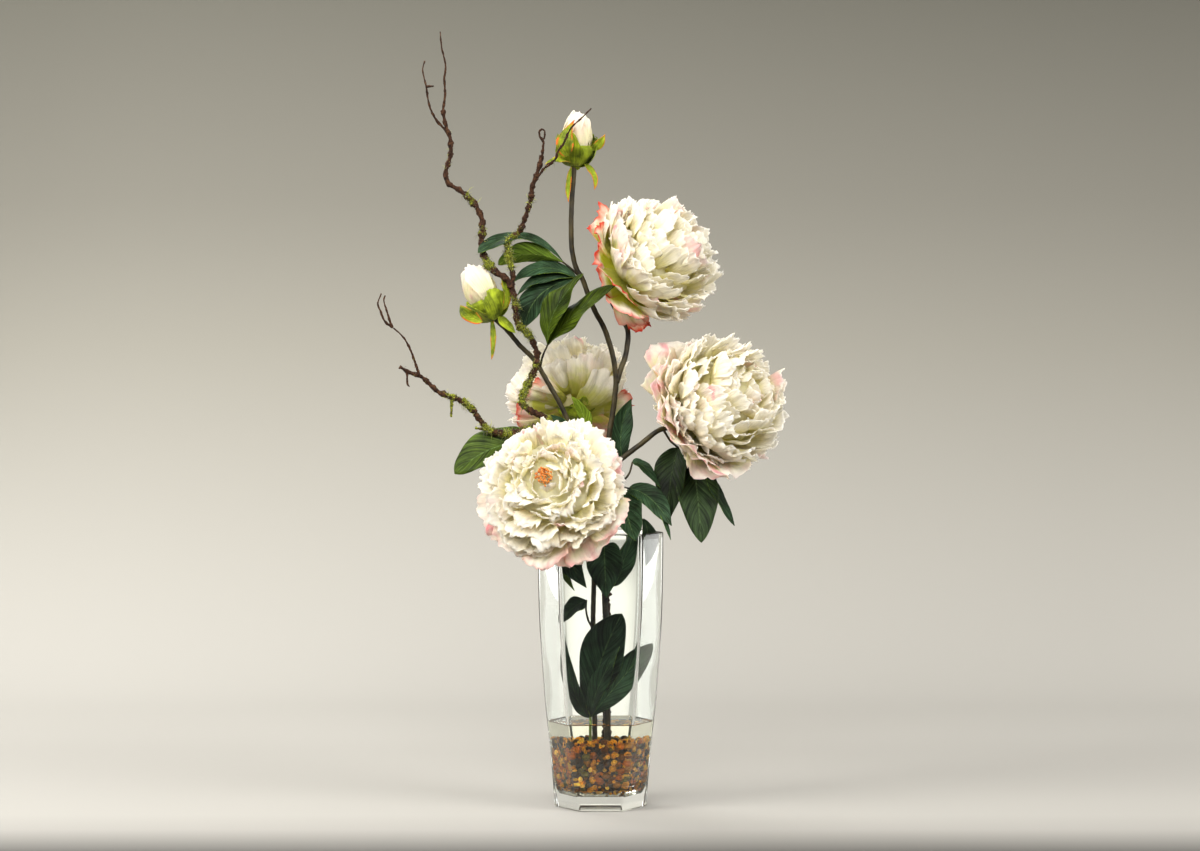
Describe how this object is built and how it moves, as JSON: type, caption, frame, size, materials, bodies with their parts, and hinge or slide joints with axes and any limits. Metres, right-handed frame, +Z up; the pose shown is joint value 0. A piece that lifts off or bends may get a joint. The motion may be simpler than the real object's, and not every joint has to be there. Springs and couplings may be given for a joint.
{
  "type": "flower arrangement in a vase",
  "caption": "Made peonies with buds, dark green leaf sprays and a curly mossy branch, standing in water and river pebbles in a clear six-sided glass vase.",
  "frame": {"origin": "middle of the vase's foot, on the face it stands on", "axes": "+Z up, -Y towards the viewer of the picture, +X to that viewer's right"},
  "size_m": [0.4045, 0.2519, 0.7746],
  "materials": {
    "glass": "clear, polished, six pressed facets",
    "water": "clear still water",
    "pebble": "wet rounded river pebbles",
    "stem": "dark olive-brown coated wire stem",
    "green_stem": "fresh green coated wire stem",
    "bark": "rough dark bark with patches of moss",
    "leaf": "veined printed cloth leaf",
    "petal": "soft white petal cloth",
    "sepal": "yellow-green cloth with coral edges",
    "stamen": "orange flocked tufts"
  },
  "bodies": {
    "root": {"vase_glass": "glass", "pebble_bed": "pebble", "vase_water": "water", "stem_tall": "stem", "stem_left": "stem", "stem_low": "green_stem", "branch_curly": "bark", "leaves_upper": "leaf", "leaves_middle": "leaf", "leaves_left": "leaf", "leaf_tall": "leaf", "leaves_right": "leaf", "leaves_hanging": "leaf", "leaves_mouth": "leaf", "leaf_small": "leaf", "leaves_low": "leaf", "bloom_upper_petals": "petal", "bloom_right_petals": "petal", "bloom_front_petals": "petal", "bloom_back_petals": "petal", "bloom_upper_calyx": "sepal", "bloom_right_calyx": "sepal", "bloom_front_calyx": "sepal", "bloom_back_calyx": "sepal", "bloom_front_stamens": "stamen", "bud_top_petals": "petal", "bud_top_calyx": "sepal", "bud_left_petals": "petal", "bud_left_calyx": "sepal"}
  },
  "joints": []
}
